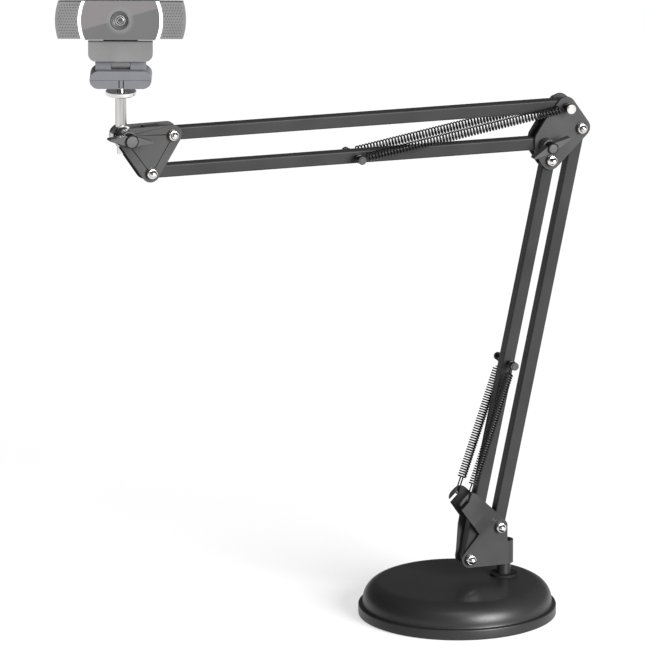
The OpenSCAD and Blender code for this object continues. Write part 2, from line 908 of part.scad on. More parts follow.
module lens_barrel() {
  color([0.2, 0.2, 0.2]) at_cam_hinge() translate([0, 0, cam_mid]) difference() {
    union() {
      rod_y(cam_front - 0.4, board_y - 2, lens_r - 1.8);
      translate([-6.5, board_y - 3, -6.5]) cube([13, 3, 13]);
    }
    rod_y(cam_front - 1, cam_front + 3, lens_r - 3);
    rod_y(cam_front + 2, board_y, 2);
    translate([-4.2, board_y - 1.6, -4.2]) cube([8.4, 2, 8.4]);
  }
}

module lens_glass() {
  glass_r = lens_r - 3;
  color([0.2, 0.22, 0.3]) at_cam_hinge() translate([0, 0, cam_mid]) intersection() {
    rod_y(cam_front - 1, cam_front + 3, glass_r);
    translate([0, cam_front + 6.2, 0]) sphere(r = 6.6, $fn = 96);
  }
}

module image_sensor() {
  color([0.2, 0.3, 0.25]) at_cam_hinge() translate([-4, sensor_y, cam_mid - 4]) cube([8, 1, 8]);
}

module main_board() {
  color([0.1, 0.35, 0.2]) at_cam_hinge()
    translate([-cam_w / 2 + 8, board_y, cam_mid - 10]) cube([cam_w - 16, 1.4, 20]);
}

module cable_gland() {
  color([0.12, 0.12, 0.12]) at_cam_hinge() translate([0, 0, cam_z0 + 6]) difference() {
    union() {
      rod_y(cam_back - cam_wall - 1, cam_back, 3);
      translate([0, cam_back, 0]) rotate([-90, 0, 0]) cylinder(h = 4, r1 = 3.6, r2 = 3);
    }
    rod_y(cam_back - 8, cam_back + 8, 1.9);
  }
}

// ---------- build ----------

base_shell();
base_weight();
base_plate();
base_pad();
base_screws();
post_socket();
post_collar();
mast_post();
base_bracket();
base_bolts();
base_nuts();
lower_bar_left();
lower_left_bushes();
lower_spring_post();
lower_post_caps();
lower_bar_right();
lower_right_bushes();
lower_spring_front();
lower_spring_rear();
elbow_bracket();
elbow_bolts();
elbow_nuts();
elbow_pin();
elbow_pin_caps();
elbow_screw();
elbow_knob();
upper_bar_bottom();
upper_bottom_bushes();
upper_spring_post();
upper_post_caps();
upper_bar_top();
upper_top_bushes();
upper_spring_front();
upper_spring_rear();
head_bracket();
head_bolts();
head_nuts();
head_screw();
head_knob();
head_post();
tilt_washers();
lock_disc();
foot_lower();
foot_upper();
thread_insert();
clip_hinge_pin();
clip_plate();
clip_pad();
camera_hinge_pin();
camera_front_shell();
camera_rear_shell();
face_panel();
accent_strips();
mic_grilles();
lens_ring();
lens_barrel();
lens_glass();
image_sensor();
main_board();
cable_gland();
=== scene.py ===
import bpy
import json
import math
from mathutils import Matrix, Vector


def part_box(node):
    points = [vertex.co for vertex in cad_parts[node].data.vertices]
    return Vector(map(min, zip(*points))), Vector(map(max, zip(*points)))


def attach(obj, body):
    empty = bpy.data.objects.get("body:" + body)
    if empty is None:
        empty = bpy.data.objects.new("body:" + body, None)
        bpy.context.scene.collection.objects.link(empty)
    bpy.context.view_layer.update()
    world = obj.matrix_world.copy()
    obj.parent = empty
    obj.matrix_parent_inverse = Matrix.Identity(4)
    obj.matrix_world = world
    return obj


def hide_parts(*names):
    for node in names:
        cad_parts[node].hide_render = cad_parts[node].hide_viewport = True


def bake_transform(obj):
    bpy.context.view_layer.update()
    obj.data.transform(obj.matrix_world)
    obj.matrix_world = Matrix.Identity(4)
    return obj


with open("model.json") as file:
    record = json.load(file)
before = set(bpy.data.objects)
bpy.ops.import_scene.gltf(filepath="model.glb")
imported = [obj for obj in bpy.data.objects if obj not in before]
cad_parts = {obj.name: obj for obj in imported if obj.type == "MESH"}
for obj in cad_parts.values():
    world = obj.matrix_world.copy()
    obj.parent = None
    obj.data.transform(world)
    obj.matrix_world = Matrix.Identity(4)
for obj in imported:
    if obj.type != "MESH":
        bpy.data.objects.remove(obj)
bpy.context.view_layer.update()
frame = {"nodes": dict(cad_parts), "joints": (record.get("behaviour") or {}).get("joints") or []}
NODES = frame["nodes"]


# ---------- mesh helpers ----------

def new_object(name, verts, faces, smooth=True):
    mesh = bpy.data.meshes.new(name)
    mesh.from_pydata([tuple(v) for v in verts], [], faces)
    mesh.validate()
    mesh.polygons.foreach_set("use_smooth", [smooth] * len(mesh.polygons))
    obj = bpy.data.objects.new(name, mesh)
    bpy.context.scene.collection.objects.link(obj)
    return obj


def tube(name, points, radius, sides=10, closed=False):
    """Round wire along a list of points, with frames carried along the curve."""
    pts = [Vector(p) for p in points]
    n = len(pts)
    verts, faces = [], []
    if closed:
        tangents = [(pts[(i + 1) % n] - pts[i - 1]).normalized() for i in range(n)]
    else:
        tangents = [(pts[min(i + 1, n - 1)] - pts[max(i - 1, 0)]).normalized() for i in range(n)]
    side = tangents[0].orthogonal().normalized()
    for p, t in zip(pts, tangents):
        side = (side - t * side.dot(t)).normalized()
        other = t.cross(side)
        for k in range(sides):
            a = 2 * math.pi * k / sides
            verts.append(p + (side * math.cos(a) + other * math.sin(a)) * radius)
    rows = n if closed else n - 1
    for i in range(rows):
        j = (i + 1) % n
        for k in range(sides):
            m = (k + 1) % sides
            faces.append((i * sides + k, i * sides + m, j * sides + m, j * sides + k))
    if not closed:
        faces.append(tuple(range(sides - 1, -1, -1)))
        faces.append(tuple((n - 1) * sides + k for k in range(sides)))
    return new_object(name, verts, faces)


def lathe(name, profile, centre, axis=(0, 0, 1), steps=96):
    """Turns a profile of (radius, height) about an axis through a centre. It closes at radius 0."""
    up = Vector(axis).normalized()
    u = up.orthogonal().normalized()
    w = up.cross(u)
    c = Vector(centre)
    verts, rings, faces = [], [], []
    for r, h in profile:
        if r < 1e-7:
            rings.append([len(verts)])
            verts.append(c + up * h)
        else:
            rings.append(list(range(len(verts), len(verts) + steps)))
            for k in range(steps):
                a = 2 * math.pi * k / steps
                verts.append(c + up * h + (u * math.cos(a) + w * math.sin(a)) * r)
    for a, b in zip(rings, rings[1:]):
        for k in range(steps):
            m = (k + 1) % steps
            if len(a) == 1:
                faces.append((a[0], b[m], b[k]))
            elif len(b) == 1:
                faces.append((a[k], a[m], b[0]))
            else:
                faces.append((a[k], a[m], b[m], b[k]))
    return new_object(name, verts, faces)


def rounded(points, radius, steps=5):
    """Rounds the corners of an open profile."""
    out = [points[0]]
    for a, b, c in zip(points, points[1:], points[2:]):
        a, b, c = Vector(a), Vector(b), Vector(c)
        r = min(radius, (a - b).length * 0.45, (c - b).length * 0.45)
        p, q = b + (a - b).normalized() * r, b + (c - b).normalized() * r
        for k in range(steps + 1):
            t = k / steps
            out.append(tuple(p * (1 - t) ** 2 + b * 2 * t * (1 - t) + q * t * t))
    out.append(points[-1])
    return out


def soften(obj, width, segments=2, angle=32):
    """Rounds the sharp edges of a piece or CAD node with modifiers."""
    weld = obj.modifiers.new("weld", "WELD")
    weld.merge_threshold = 1e-6
    bevel = obj.modifiers.new("edges", "BEVEL")
    bevel.width = width
    bevel.segments = segments
    bevel.limit_method = "ANGLE"
    bevel.angle_limit = math.radians(angle)
    bevel.harden_normals = False
    normal = obj.modifiers.new("normals", "WEIGHTED_NORMAL")
    normal.keep_sharp = False
    normal.weight = 60
    obj.data.polygons.foreach_set("use_smooth", [True] * len(obj.data.polygons))


# ---------- materials ----------

def material(name, colours, rough, metallic=0.0, grain=900.0, grain_depth=0.00002, blotch=35.0, rough_range=0.06,
             coat=0.0, coat_rough=0.1, specular=0.5, stretch=(1, 1, 1), speck=None, detail=3.0):
    """Principled shader with colour drift, fine grain in roughness and bump, and optional specks."""
    mat = bpy.data.materials.new(name)
    mat.use_nodes = True
    tree = mat.node_tree
    nodes, links = tree.nodes, tree.links
    bsdf = nodes["Principled BSDF"]
    bsdf.inputs["Metallic"].default_value = metallic
    bsdf.inputs["Specular IOR Level"].default_value = specular
    bsdf.inputs["Coat Weight"].default_value = coat
    bsdf.inputs["Coat Roughness"].default_value = coat_rough
    coords = nodes.new("ShaderNodeTexCoord")
    mapping = nodes.new("ShaderNodeMapping")
    mapping.inputs["Scale"].default_value = stretch
    links.new(coords.outputs["Object"], mapping.inputs["Vector"])

    def noise(scale, fine):
        node = nodes.new("ShaderNodeTexNoise")
        node.inputs["Scale"].default_value = scale
        node.inputs["Detail"].default_value = fine
        links.new(mapping.outputs["Vector"], node.inputs["Vector"])
        return node

    def ramp(source, lo, hi, low_pos=0.3, high_pos=0.7):
        node = nodes.new("ShaderNodeMapRange")
        node.inputs["From Min"].default_value = low_pos
        node.inputs["From Max"].default_value = high_pos
        node.inputs["To Min"].default_value = lo
        node.inputs["To Max"].default_value = hi
        links.new(source, node.inputs["Value"])
        return node.outputs["Result"]

    broad = noise(blotch, 2.0)
    fine = noise(grain, detail)
    mix = nodes.new("ShaderNodeMix")
    mix.data_type = "RGBA"
    links.new(ramp(broad.outputs["Fac"], 0.0, 1.0), mix.inputs["Factor"])
    mix.inputs["A"].default_value = (*colours[0], 1)
    mix.inputs["B"].default_value = (*colours[1], 1)
    colour = mix.outputs["Result"]
    if speck:
        dots = nodes.new("ShaderNodeTexVoronoi")
        dots.inputs["Scale"].default_value = speck[1]
        links.new(mapping.outputs["Vector"], dots.inputs["Vector"])
        over = nodes.new("ShaderNodeMix")
        over.data_type = "RGBA"
        links.new(ramp(dots.outputs["Distance"], 1.0, 0.0, 0.05, 0.3), over.inputs["Factor"])
        links.new(colour, over.inputs["A"])
        over.inputs["B"].default_value = (*speck[0], 1)
        colour = over.outputs["Result"]
    links.new(colour, bsdf.inputs["Base Color"])
    links.new(ramp(fine.outputs["Fac"], rough - rough_range, rough + rough_range), bsdf.inputs["Roughness"])
    if grain_depth > 0:
        bump = nodes.new("ShaderNodeBump")
        bump.inputs["Strength"].default_value = 0.6
        bump.inputs["Distance"].default_value = grain_depth
        links.new(fine.outputs["Fac"], bump.inputs["Height"])
        links.new(bump.outputs["Normal"], bsdf.inputs["Normal"])
    return mat


def grey(v, warm=0.0):
    return (v * (1 + warm), v, v * (1 - warm))


MAT = {
    "base_paint": material("base_paint", (grey(0.0095), grey(0.0125)), 0.38, grain=1500, grain_depth=0.00004,
                           blotch=20, specular=0.28, speck=(grey(0.017), 1900)),
    "bar_paint": material("bar_paint", (grey(0.016), grey(0.022)), 0.38, grain=2200, grain_depth=0.000012,
                          blotch=26, specular=0.08),
    "plate_paint": material("plate_paint", (grey(0.027), grey(0.034)), 0.42, grain=2600, grain_depth=0.00001,
                            blotch=60, specular=0.12),
    "mast_paint": material("mast_paint", (grey(0.016), grey(0.023)), 0.40, grain=2600, grain_depth=0.00001,
                           blotch=50, specular=0.2),
    "black_steel": material("black_steel", (grey(0.005), grey(0.008)), 0.35, grain=1800, grain_depth=0.00001,
                            blotch=120, specular=0.3),
    "cap_grey": material("cap_grey", (grey(0.022), grey(0.03)), 0.4, grain=1800, grain_depth=0.00001,
                         blotch=120, specular=0.3),
    "spring_wire": material("spring_wire", (grey(0.003), grey(0.006)), 0.3, grain=1200, grain_depth=0.000008,
                            blotch=400, specular=0.3),
    "bright_steel": material("bright_steel", (grey(0.62, 0.03), grey(0.78, 0.03)), 0.14, grain=1600,
                             grain_depth=0.000006, blotch=240, metallic=1.0, rough_range=0.05),
    # painted reflection: the chrome's base colour runs from dark to bright in vertical streaks, standing in for
    # what the post mirrors
    "chrome": material("chrome", (grey(0.20, 0.03), grey(0.80, 0.01)), 0.10, grain=900, grain_depth=0.000003,
                       blotch=260, metallic=1.0, rough_range=0.03, stretch=(1, 1, 0.02)),
    "disc_metal": material("disc_metal", (grey(0.62), grey(0.76)), 0.2, grain=1600, grain_depth=0.000004,
                           blotch=150, metallic=1.0, stretch=(1, 1, 8)),
    "knob_plastic": material("knob_plastic", (grey(0.030), grey(0.039)), 0.45, grain=1900, grain_depth=0.00003,
                             blotch=110, specular=0.2),
    "knob_cap": material("knob_cap", (grey(0.043), grey(0.060)), 0.6, grain=1500, grain_depth=0.0001, blotch=800,
                         specular=0.2, speck=(grey(0.022), 1500)),
    "knob_groove": material("knob_groove", (grey(0.003), grey(0.005)), 0.6, grain=1500, grain_depth=0.00001,
                            blotch=300, specular=0.1),
    "rubber": material("rubber", (grey(0.005), grey(0.008)), 0.7, grain=900, grain_depth=0.00005, blotch=60,
                       specular=0.15),
    "cast_iron": material("cast_iron", (grey(0.06), grey(0.12)), 0.6, grain=500, grain_depth=0.0001, blotch=90,
                          metallic=0.8),
    "zinc": material("zinc", (grey(0.45), grey(0.6)), 0.35, grain=700, grain_depth=0.00001, blotch=60, metallic=1),
    "shell_plastic": material("shell_plastic", (grey(0.082), grey(0.095)), 0.45, grain=1800, grain_depth=0.00002,
                              blotch=70, specular=0.3),
    "rear_plastic": material("rear_plastic", (grey(0.070), grey(0.082)), 0.48, grain=1800, grain_depth=0.00003,
                             blotch=70, specular=0.3),
    "clip_plastic": material("clip_plastic", (grey(0.085), grey(0.100)), 0.48, grain=1700, grain_depth=0.00002,
                             blotch=60, specular=0.3),
    "foot_plastic": material("foot_plastic", ((0.078, 0.081, 0.089), (0.088, 0.091, 0.100)), 0.45, grain=1700,
                             grain_depth=0.00002, blotch=60, specular=0.3),
    "white_plastic": material("white_plastic", (grey(0.86), grey(0.92)), 0.3, grain=1500, grain_depth=0.00001,
                              blotch=90),
    "hole_painted_shade": material("hole_painted_shade", (grey(0.028), grey(0.040)), 0.7, grain=1500, grain_depth=0.00001, blotch=90,
                          specular=0.1),
    "lens_black": material("lens_black", (grey(0.045), grey(0.055)), 0.3, grain=1500, grain_depth=0.000005,
                           blotch=90, specular=0.3),
    "lens_grey": material("lens_grey", (grey(0.15), grey(0.18)), 0.3, grain=1500, grain_depth=0.000005,
                          blotch=90, specular=0.4),
    "lens_glass": material("lens_glass", ((0.030, 0.030, 0.034), (0.045, 0.045, 0.052)), 0.05, grain=300,
                           grain_depth=0.0, blotch=300, coat=1.0, coat_rough=0.02, rough_range=0.01, specular=0.5),
    "brass": material("brass", ((0.6, 0.42, 0.16), (0.7, 0.5, 0.2)), 0.25, grain=900, grain_depth=0.00001,
                      blotch=90, metallic=1),
    "sensor": material("sensor", ((0.05, 0.07, 0.08), (0.1, 0.12, 0.16)), 0.2, grain=900, grain_depth=0,
                       blotch=900),
    "board": material("board", ((0.01, 0.08, 0.03), (0.02, 0.12, 0.05)), 0.4, grain=900, grain_depth=0.00001,
                      blotch=300),
}


def camera_face():
    """The webcam's front face: its centre, its outward normal and its right and up directions."""
    mesh = NODES["face_panel"].data
    normal = Vector((0, 0, 0))
    for face in mesh.polygons:
        if face.normal.y < -0.5:
            normal += face.normal * face.area
    normal.normalize()
    right = Vector(next(j["axis"] for j in frame["joints"] if j["name"] == "camera_tilt")).normalized()
    normal = (normal - right * normal.dot(right)).normalized()
    up = normal.cross(right)
    spans = [[v.co.dot(d) for v in mesh.vertices] for d in (right, up, normal)]
    centre = right * (min(spans[0]) + max(spans[0])) / 2 + up * (min(spans[1]) + max(spans[1])) / 2
    return centre + normal * max(spans[2]), normal, right, up


FACE, FRONT, RIGHT, UP = camera_face()


def face_material():
    """Gloss grey with a paler upper part painted as a reflection, split by a rising line, and a pale halo round
    the lens.
    """
    mat = material("face_gloss_painted_reflection", (grey(0.066), grey(0.070)), 0.22, grain=500, grain_depth=0.0, blotch=30,
                   rough_range=0.02, specular=0.3)
    nodes, links = mat.node_tree.nodes, mat.node_tree.links
    coords = next(n for n in nodes if n.type == "TEX_COORD")
    bsdf = nodes["Principled BSDF"]
    base = bsdf.inputs["Base Color"].links[0].from_socket

    def vector_math(operation, value):
        node = nodes.new("ShaderNodeVectorMath")
        node.operation = operation
        node.inputs[1].default_value = value
        return node

    def step(source, start, end, lo, hi):
        node = nodes.new("ShaderNodeMapRange")
        node.interpolation_type = "SMOOTHSTEP"
        for key, value in (("From Min", start), ("From Max", end), ("To Min", lo), ("To Max", hi)):
            node.inputs[key].default_value = value
        links.new(source, node.inputs["Value"])
        return node.outputs["Result"]

    def over(below, factor, tint):
        node = nodes.new("ShaderNodeMix")
        node.data_type = "RGBA"
        links.new(factor, node.inputs["Factor"])
        links.new(below, node.inputs["A"])
        node.inputs["B"].default_value = (*tint, 1)
        return node.outputs["Result"]

    local = vector_math("SUBTRACT", FACE)
    links.new(coords.outputs["Object"], local.inputs[0])
    reflection_edge = vector_math("DOT_PRODUCT", (UP * math.cos(0.28) - RIGHT * math.sin(0.28)))
    links.new(local.outputs["Vector"], reflection_edge.inputs[0])
    length = vector_math("LENGTH", (0, 0, 0))
    links.new(local.outputs["Vector"], length.inputs[0])
    # painted reflection: above the rising line the face is made paler, standing in for a reflection across the
    # gloss panel
    colour = over(base, step(reflection_edge.outputs["Value"], 0.0004, 0.0018, 0.0, 1.0), (0.098, 0.092, 0.094))
    colour = over(colour, step(length.outputs["Value"], 0.0072, 0.0118, 0.75, 0.0), grey(0.110))
    links.new(colour, bsdf.inputs["Base Color"])
    return mat


MAT["face_gloss_painted_reflection"] = face_material()

NODE_MATERIAL = {
    "base_shell": "base_paint", "base_weight": "cast_iron", "base_plate": "zinc", "base_pad": "rubber",
    "base_screws": "bright_steel", "post_socket": "cast_iron", "post_collar": "rubber",
    "mast_post": "base_paint", "base_bracket": "mast_paint", "base_bolts": "black_steel",
    "base_nuts": "bright_steel", "lower_bar_left": "bar_paint", "lower_left_bushes": "zinc",
    "lower_spring_post": "black_steel", "lower_post_caps": "cap_grey", "lower_bar_right": "bar_paint",
    "lower_right_bushes": "zinc", "lower_spring_front": "spring_wire", "lower_spring_rear": "spring_wire",
    "elbow_bracket": "plate_paint", "elbow_bolts": "black_steel", "elbow_nuts": "bright_steel",
    "elbow_pin": "black_steel", "elbow_pin_caps": "bright_steel", "elbow_screw": "black_steel",
    "elbow_knob": "knob_plastic", "upper_bar_bottom": "bar_paint", "upper_bottom_bushes": "zinc",
    "upper_spring_post": "black_steel", "upper_post_caps": "cap_grey", "upper_bar_top": "bar_paint",
    "upper_top_bushes": "zinc", "upper_spring_front": "spring_wire", "upper_spring_rear": "spring_wire",
    "head_bracket": "plate_paint", "head_bolts": "black_steel", "head_nuts": "bright_steel",
    "head_screw": "black_steel", "head_knob": "knob_plastic", "head_post": "chrome", "tilt_washers": "rubber",
    "lock_disc": "disc_metal", "foot_lower": "foot_plastic", "foot_upper": "foot_plastic",
    "thread_insert": "brass", "clip_hinge_pin": "zinc", "clip_plate": "clip_plastic", "clip_pad": "rubber",
    "camera_hinge_pin": "zinc", "camera_front_shell": "shell_plastic", "camera_rear_shell": "rear_plastic",
    "face_panel": "face_gloss_painted_reflection", "accent_strips": "white_plastic", "mic_grilles": "shell_plastic",
    "lens_ring": "lens_grey", "lens_barrel": "lens_black", "lens_glass": "lens_glass",
    "image_sensor": "sensor", "main_board": "board", "cable_gland": "rubber",
}


def paint(obj, name):
    obj.data.materials.clear()
    obj.data.materials.append(MAT[name])
    return obj


for node, finish in NODE_MATERIAL.items():
    paint(NODES[node], finish)

EDGE_WIDTHS = (
    (0.0002, ("lower_bar_left", "lower_bar_right", "upper_bar_bottom", "upper_bar_top")),
    (0.0003, ("elbow_bracket", "head_bracket", "base_bracket")),
    (0.0004, ("foot_lower", "foot_upper", "clip_plate", "camera_front_shell", "camera_rear_shell")),
)
for edge_width, softened in EDGE_WIDTHS:
    for node in softened:
        soften(NODES[node], edge_width)


# ---------- base ----------

lo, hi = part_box("base_shell")
base_r, dome_top, foot = (hi.x - lo.x) / 2, hi.z, lo.z
rim_top = 0.009
wall_inset, rim_round = 0.0035, 0.0011
wall_r, shoulder_z = base_r - wall_inset, rim_top + 0.0028
shoulder_r = dome_top - 0.0006 - shoulder_z
profile = [(base_r - 0.0014, foot), (base_r, foot), (base_r, rim_top), (wall_r + 0.0002, rim_top),
           (wall_r, rim_top + 0.0006)]
smooth_profile = rounded(profile, rim_round)
for k in range(21):
    a = math.radians(4 * k)
    smooth_profile.append((wall_r - shoulder_r * (1 - math.cos(a)), shoulder_z + shoulder_r * math.sin(a)))
crown_r, crown_z = smooth_profile[-1]
for k in range(1, 13):
    r = crown_r * (1 - k / 12)
    smooth_profile.append((r, dome_top - (dome_top - crown_z) * (r / crown_r) ** 2))
cover = lathe("base_cover", smooth_profile, (0, 0, 0), steps=192)
paint(cover, "base_paint")
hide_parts("base_shell")
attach(cover, "base")


# ---------- springs ----------

SPRING_R = 0.0038
WIRE_R = 0.0006
POST_EYE_R = 0.0029
POINTS_PER_TURN = 14
PIECE_OVERLAP = 0.004  # share of the span by which neighbouring coil pieces overlap


def centre_of(node):
    low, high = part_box(node)
    return (low + high) / 2


def bend_piece(obj):
    """Bakes the transform of a stretch of spring into its mesh."""
    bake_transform(obj)


def helix(p, q, z0, z1, turns):
    """Points of a coil about the line from p to q, between two distances along it."""
    d = (q - p).normalized()
    side = Vector((0, 1, 0))
    other = d.cross(side).normalized()
    radius = SPRING_R - WIRE_R
    points = []
    count = int(turns * POINTS_PER_TURN)
    for k in range(count + 1):
        a = 2 * math.pi * turns * k / count
        points.append(p + d * (z0 + (z1 - z0) * k / count) + (side * math.cos(a) + other * math.sin(a)) * radius)
    return points


def arc(centre, u, v, radius, a0, a1, steps=16):
    """Points round a centre in the plane of u and v, between two angles in degrees."""
    out = []
    for k in range(steps + 1):
        a = math.radians(a0 + (a1 - a0) * k / steps)
        out.append(centre + (u * math.cos(a) + v * math.sin(a)) * radius)
    return out


def spring_piece(name, points, node):
    obj = tube(name, points, WIRE_R, sides=8)
    paint(obj, "spring_wire")
    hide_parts(node)
    return obj


PIVOT = {j["name"]: Vector(j["pos_m"]) for j in frame["joints"]}
LOWER_POST = centre_of("lower_spring_post")
UPPER_POST = centre_of("upper_spring_post")


def lower_spring(node, tag):
    """Hook, three coil pieces and eye, running from the mast to the lower arm's first bar."""
    y = Vector((0, centre_of(node).y, 0))
    p, q = PIVOT["lower_spring_swing"] + y, LOWER_POST + y
    span = (q - p).length
    d = (q - p).normalized()
    y_dir, other = Vector((0, 1, 0)), d.cross(Vector((0, 1, 0))).normalized()
    z0, z1, pitch = 0.0138, span - 0.0078, 0.0020
    turns = round((z1 - z0) / pitch)
    whole = helix(p, q, z0, z1, turns)
    half = 0.0022
    cuts = ((0.0, 0.21, 0.0, 0.455), (0.21, 0.5, 0.455, 0.775), (0.5, 1.0, 0.775, 1.0))
    for k, (t0, t1, w0, w1) in enumerate(cuts):
        part = [v for v in whole if t0 - PIECE_OVERLAP <= (v - p).dot(d) / span <= t1 + PIECE_OVERLAP]
        if k == 0:
            loop = [p + y_dir * half + d * z0, p + y_dir * half + d * 0.008]
            loop += arc(p + d * half, y_dir, -d, half, 0, 180)
            loop += [p - y_dir * half + d * 0.008, p - y_dir * half + d * (z0 + 0.0004)]
            turn = [p + d * (z0 + 0.0004) + (y_dir * math.cos(a) + other * math.sin(a)) * r
                    for a, r in ((math.pi, 0.0027), (1.25 * math.pi, 0.003), (1.6 * math.pi, SPRING_R - WIRE_R))]
            obj = spring_piece(f"lower_spring_{tag}_hook", loop + turn, node)
            bend_piece(obj)
        if k == 2:
            eye = [part[-1], p + d * (z1 + 0.0006), q - d * POST_EYE_R]
            eye += arc(q, -d, other, POST_EYE_R, 0, 330, 24)
            obj = spring_piece(f"lower_spring_{tag}_eye", eye, node)
            bend_piece(obj)
        obj = spring_piece(f"lower_spring_{tag}_coil_{k}", part, node)
        bend_piece(obj)


def upper_spring(node, tag):
    """Near half on the springs' own body and far half on the upper arm's first bar, sliding in each other."""
    y = Vector((0, centre_of(node).y, 0))
    p, q = PIVOT["upper_spring_swing"] + y, UPPER_POST + y
    span = (q - p).length
    d = (q - p).normalized()
    other = d.cross(Vector((0, 1, 0))).normalized()
    z0, z1, pitch = 0.0072, span - 0.0072, 0.0026
    turns = round((z1 - z0) / pitch)
    whole = helix(p, q, z0, z1, turns)
    near = [v for v in whole if (v - p).dot(d) / span <= 0.56]
    far = [v for v in whole if (v - p).dot(d) / span >= 0.50]
    hook_r = 0.0034
    hook = arc(p, d, -other, hook_r, 30, 360, 24) + [p + d * (z0 - 0.0012), near[0]]
    obj = spring_piece(f"upper_spring_{tag}_hook", hook, node)
    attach(obj, "upper_springs")
    obj = spring_piece(f"upper_spring_{tag}_coil_near", near, node)
    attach(obj, "upper_springs")
    obj = spring_piece(f"upper_spring_{tag}_coil_far", far, node)
    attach(obj, "upper_bar_a")
    eye = [far[-1], p + d * (z1 + 0.0008), q - d * POST_EYE_R] + arc(q, -d, other, POST_EYE_R, 0, 330, 24)
    obj = spring_piece(f"upper_spring_{tag}_eye", eye, node)
    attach(obj, "upper_bar_a")


lower_spring("lower_spring_front", "front")
lower_spring("lower_spring_rear", "rear")
upper_spring("upper_spring_front", "front")
upper_spring("upper_spring_rear", "rear")


# ---------- nuts and knobs ----------

FORWARD = (0, -1, 0)


def put(obj, finish, node, body):
    paint(obj, finish)
    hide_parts(node)
    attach(obj, body)
    return obj


def nuts(node, body):
    """Domed nuts on washers painted black as the shade round each nut, at the lower left and upper right corners
    of a node's box.
    """
    low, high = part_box(node)
    edge = 0.005
    for k, (x, z) in enumerate(((low.x + edge, low.z + edge), (high.x - edge, high.z - edge))):
        face = Vector((x, high.y, z))
        ring_shape = rounded([(0.0025, 0), (0.0049, 0), (0.0049, 0.0009), (0.0025, 0.0009)], 0.0003)
        washer = lathe(f"{node}_washer_{k}", ring_shape, face, FORWARD, 48)
        # painted shade: the washer is coloured black to stand in for the shadow ring round each nut
        put(washer, "black_steel", node, body)
        rim = rounded([(0.0025, 0.0009), (0.0041, 0.0009), (0.0043, 0.0028), (0.0038, 0.0038), (0.0031, 0.0039)],
                      0.0005)
        dome = [(0.0031 * math.cos(a * math.pi / 16), 0.0041 + 0.0033 * math.sin(a * math.pi / 16))
                for a in range(8)]
        cap = lathe(f"{node}_cap_{k}", rim + [(0.0029, 0.0038)] + dome + [(0, 0.0074)], face, FORWARD, 48)
        put(cap, "bright_steel", node, body)


def extruded(name, outline, place, angle, depth):
    """A flat outline given as (x, z), turned by an angle and given depth backwards from its place."""
    c, s = math.cos(math.radians(angle)), math.sin(math.radians(angle))
    verts = []
    for y in (0, depth):
        for x, z in outline:
            verts.append(Vector(place) + Vector((x * c - z * s, y, x * s + z * c)))
    n = len(outline)
    faces = [tuple(range(n)), tuple(range(2 * n - 1, n - 1, -1))]
    faces += [(k, k + n, (k + 1) % n + n, (k + 1) % n) for k in range(n)]
    return new_object(name, verts, faces, smooth=False)


def knob(node, body, hub_r, reach, angle):
    """Wing knob: a long diamond with a dark ring and a textured cap at its middle."""
    low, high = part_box(node)
    pivot = PIVOT[body + "_turn"]
    front = Vector((pivot.x, low.y, pivot.z))
    tip, steps = 0.0010, 10
    half = []
    for k in range(steps + 1):
        x = reach - tip - (reach - tip) * k / steps
        half.append((x, tip * 0.8 + (hub_r - 0.0014) * (1 - x / reach) ** 1.1))
    top = [(reach - 0.0003, 0.0005)] + half
    upper = top + [(-x, z) for x, z in reversed(top[:-1])]
    outline = upper + [(-x, -z) for x, z in upper]
    wing = extruded(node + "_wings", outline[::-1], front + Vector((0, 0.0016, 0)), angle, 0.007)
    soften(wing, 0.00035, 3, 40)
    put(wing, "knob_plastic", node, body)
    deep = high.y - low.y
    hub = lathe(node + "_hub", rounded([(0.0026, -deep), (hub_r + 0.0012, -deep), (hub_r + 0.0012, -0.0080),
                                        (hub_r * 0.8, -0.0080)], 0.0004), front, FORWARD, 64)
    put(hub, "knob_plastic", node, body)
    ring = lathe(node + "_ring", [(hub_r, -0.0079), (hub_r, -0.0006), (hub_r - 0.0003, -0.0003),
                                  (hub_r - 0.0009, -0.0004), (hub_r - 0.0010, -0.0010)], front, FORWARD, 64)
    put(ring, "knob_groove", node, body)
    cap = lathe(node + "_cap", rounded([(hub_r - 0.0008, -0.0012), (hub_r - 0.0008, -0.0003), (0.0015, 0), (0, 0)],
                                       0.0004), front, FORWARD, 64)
    put(cap, "knob_cap", node, body)


nuts("base_nuts", "mast")
nuts("elbow_nuts", "elbow")
nuts("head_nuts", "head")
knob("elbow_knob", "elbow_knob", 0.0044, 0.0175, 24)
knob("head_knob", "head_knob", 0.0054, 0.0185, -8)


# ---------- webcam ----------

ring = lathe("lens_front_ring", rounded([(0.0058, -0.0040), (0.0058, 0.0002), (0.0064, 0.0008), (0.0070, 0.0008),
                                         (0.0074, 0.0003), (0.0074, -0.0030)], 0.0002), FACE, FRONT, 72)
put(ring, "lens_black", "lens_ring", "camera")
dish = lathe("lens_dish", [(0.0058, -0.0040), (0.0058, -0.0002), (0.0052, -0.0003), (0.0042, -0.0010),
                           (0.0040, -0.0020), (0.0026, -0.0022), (0.0024, -0.0034), (0, -0.0036)],
             FACE, FRONT, 72)
put(dish, "lens_black", "lens_barrel", "camera")
for tag, r, h, wire in (("outer", 0.0036, -0.0012, 0.00045), ("inner", 0.0021, -0.0010, 0.00032)):
    points = [FACE + FRONT * h + (RIGHT * math.cos(a) + UP * math.sin(a)) * r
              for a in (2 * math.pi * k / 48 for k in range(48))]
    band = tube(f"lens_band_{tag}", points, wire, 8, closed=True)
    put(band, "lens_grey", "lens_barrel", "camera")
glass = lathe("lens_dome", [(0.0046, -0.0026), (0.0040, -0.0023), (0.0030, -0.0019), (0.0018, -0.0015),
                            (0.0008, -0.0013), (0, -0.00125)], FACE, FRONT, 48)
put(glass, "lens_glass", "lens_glass", "camera")


HOLE_ROWS, HOLE_COLUMNS, HOLE_SIDES = 12, 7, 8
HOLE_R, HOLE_PITCH, HOLE_MARGIN = 0.00052, 0.0021, 0.0022


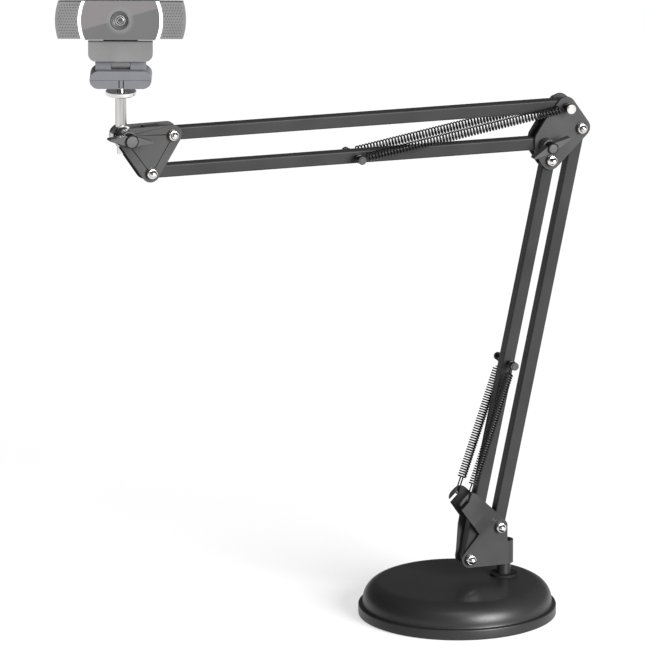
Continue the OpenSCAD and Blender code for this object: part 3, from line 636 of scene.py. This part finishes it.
def grille_holes():
    """Staggered rows of small flat discs painted dark as the shade inside grille holes, on both ends of the
    webcam, as one mesh.
    """
    mesh = NODES["mic_grilles"].data
    across = [(v.co - FACE).dot(RIGHT) for v in mesh.vertices]
    upward = [(v.co - FACE).dot(UP) for v in mesh.vertices]
    depth = max((v.co - FACE).dot(FRONT) for v in mesh.vertices)
    half_w, half_h = max(across), max(upward)
    verts, faces = [], []
    for side in (-1, 1):
        for row in range(HOLE_ROWS):
            z = -half_h + HOLE_MARGIN + row * (2 * half_h - 2 * HOLE_MARGIN) / (HOLE_ROWS - 1)
            end = half_w - 0.0022 * (z / half_h) ** 2 - 0.0024
            for col in range(HOLE_COLUMNS):
                x = end - (col + 0.5 * (row % 2)) * HOLE_PITCH
                spot = FACE + RIGHT * side * x + UP * z + FRONT * (depth + 0.00003)
                first = len(verts)
                for k in range(HOLE_SIDES):
                    a = 2 * math.pi * k / HOLE_SIDES * side
                    verts.append(spot + (RIGHT * math.cos(a) + UP * math.sin(a)) * HOLE_R)
                faces.append(tuple(range(first, first + HOLE_SIDES))[::side])
    return new_object("grille_holes", verts, faces, smooth=False)


holes = grille_holes()
# painted shade: the discs are dark to stand in for the shade inside the grille holes
paint(holes, "hole_painted_shade")
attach(holes, "camera")


# ---------- camera, light and floor ----------

CAMERA_PLACE = (-3.3799, -8.0803, 2.5856)
CAMERA_AIM = (-0.1152, 0, 0.2504)
FLOOR_HALF = 40

scene = bpy.context.scene
camera_data = bpy.data.cameras.new("camera")
camera_data.lens = 641.9
camera_data.sensor_width = 36.0
camera = bpy.data.objects.new("camera", camera_data)
scene.collection.objects.link(camera)
camera.location = CAMERA_PLACE
camera.rotation_euler = (Vector(CAMERA_AIM) - camera.location).to_track_quat("-Z", "Y").to_euler()
scene.camera = camera

corners = [(x * FLOOR_HALF, y * FLOOR_HALF, 0) for x, y in ((-1, -1), (1, -1), (1, 1), (-1, 1))]
floor = new_object("floor", corners, [(0, 1, 2, 3)])
floor_mat = material("floor_pale", (grey(0.34), grey(0.36)), 0.8, grain=60, grain_depth=0.0, blotch=2,
                     specular=0.05)
floor_shader = floor_mat.node_tree.nodes["Principled BSDF"]
floor_shader.inputs["Emission Color"].default_value = (1, 1, 1, 1)
floor_shader.inputs["Emission Strength"].default_value = 0.64
floor.data.materials.append(floor_mat)

world = bpy.data.worlds.new("studio")
scene.world = world
world.use_nodes = True
world.node_tree.nodes["Background"].inputs["Color"].default_value = (1, 1, 1, 1)
world.node_tree.nodes["Background"].inputs["Strength"].default_value = 0.15
scene.view_settings.view_transform = "Standard"
scene.view_settings.look = "None"


def area_light(name, place, aim, size, power):
    data = bpy.data.lights.new(name, "AREA")
    data.shape = "RECTANGLE"
    data.size, data.size_y = size
    data.energy = power
    light = bpy.data.objects.new(name, data)
    scene.collection.objects.link(light)
    light.location = place
    light.rotation_euler = (Vector(aim) - Vector(place)).to_track_quat("-Z", "Y").to_euler()
    return light


def sun(name, towards, strength, angle):
    data = bpy.data.lights.new(name, "SUN")
    data.energy = strength
    data.angle = math.radians(angle)
    light = bpy.data.objects.new(name, data)
    scene.collection.objects.link(light)
    light.rotation_euler = (-Vector(towards)).to_track_quat("-Z", "Y").to_euler()
    return light


sun("key", (0.30, -0.90, 0.30), 9.4, 35)
area_light("front_box", (-0.3, -1.4, 1.7), (0, 0, 0.05), (1.2, 0.5), 12)
